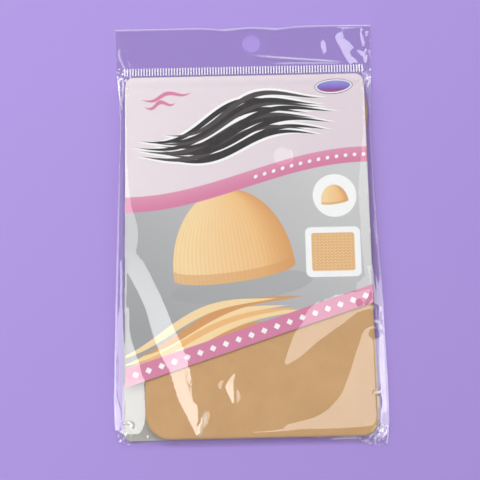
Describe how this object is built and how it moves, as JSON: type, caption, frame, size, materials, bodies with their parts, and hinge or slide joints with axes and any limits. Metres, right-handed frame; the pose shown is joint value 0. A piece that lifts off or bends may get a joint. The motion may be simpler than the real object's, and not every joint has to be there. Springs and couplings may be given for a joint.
{
  "type": "wig cap in a display card and clear hanging bag",
  "caption": "Knitted wig cap folded flat in a creased display card with a slanting lower edge, sealed in a clear film bag with a hanging header.",
  "frame": {"origin": "middle of the packet's outline, on the surface that it lies on", "axes": "+X across the packet to the right, +Y up the packet to its header, +Z out of its printed front"},
  "size_m": [0.1172, 0.1875, 0.0063],
  "materials": {
    "cap_knit": "fine matt nylon knit",
    "cap_hem": "doubled elastic knit",
    "card_board": "thin coated printed board",
    "bag_film": "clear glossy film"
  },
  "bodies": {
    "root": {"cap_body": "cap_knit", "elastic_hem": "cap_hem", "display_card": "card_board", "film_bag": "bag_film"}
  },
  "joints": []
}
